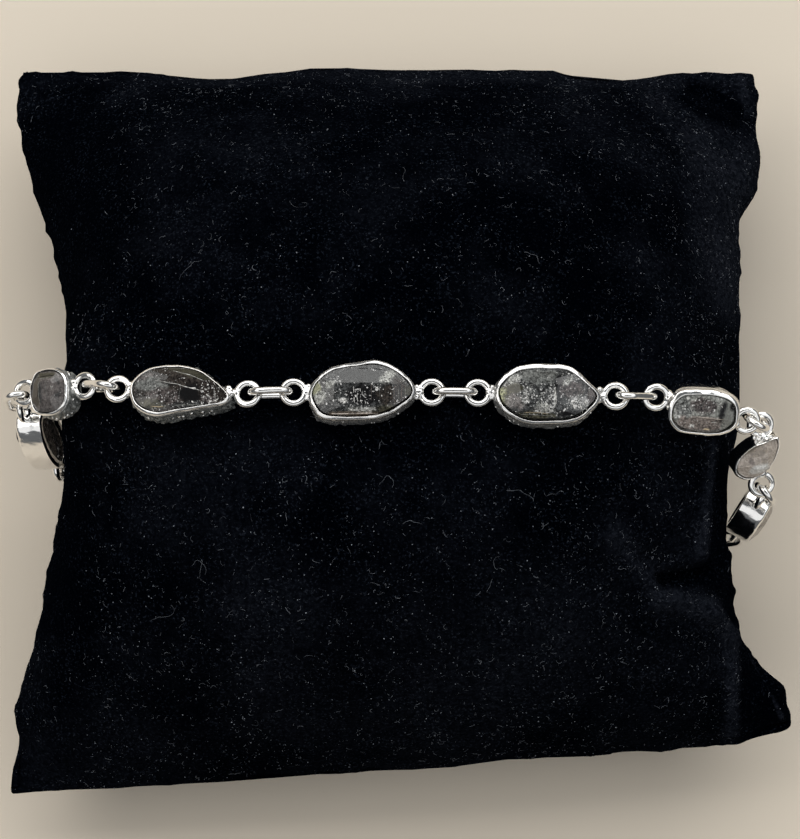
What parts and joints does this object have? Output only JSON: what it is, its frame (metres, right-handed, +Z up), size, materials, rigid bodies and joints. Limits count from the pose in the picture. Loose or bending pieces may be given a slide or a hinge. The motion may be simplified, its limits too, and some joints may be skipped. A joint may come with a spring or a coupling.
{
  "type": "gemstone bracelet on a display cushion",
  "caption": "Silver bracelet of bezel-set rough rock crystals joined by oval jump rings, fastened round a small stuffed black velvet display cushion.",
  "frame": {"origin": "middle of the cushion's underside, on the surface that it lies on", "axes": "+X to the right along the bracelet's top run, +Y to the cushion's far edge, +Z up"},
  "size_m": [0.0817, 0.077, 0.0364],
  "materials": {
    "silver": "polished sterling silver",
    "crystal": "clear rough rock crystal with veils and inclusions",
    "velvet": "black velvet, short pile"
  },
  "bodies": {
    "root": {"cushion": "velvet", "setting_1": "silver", "crystal_1": "crystal", "setting_2": "silver", "crystal_2": "crystal", "setting_3": "silver", "crystal_3": "crystal", "setting_4": "silver", "crystal_4": "crystal", "setting_5": "silver", "crystal_5": "crystal", "setting_6": "silver", "crystal_6": "crystal", "setting_7": "silver", "crystal_7": "crystal", "setting_8": "silver", "crystal_8": "crystal", "setting_9": "silver", "crystal_9": "crystal", "setting_10": "silver", "crystal_10": "crystal", "setting_11": "silver", "crystal_11": "crystal", "jump_ring_1": "silver", "jump_ring_2": "silver", "jump_ring_3": "silver", "jump_ring_4": "silver", "jump_ring_5": "silver", "jump_ring_6": "silver", "jump_ring_7": "silver", "jump_ring_8": "silver", "jump_ring_9": "silver", "jump_ring_10": "silver", "jump_ring_11": "silver", "jump_ring_12": "silver", "clasp": "silver"}
  },
  "joints": []
}
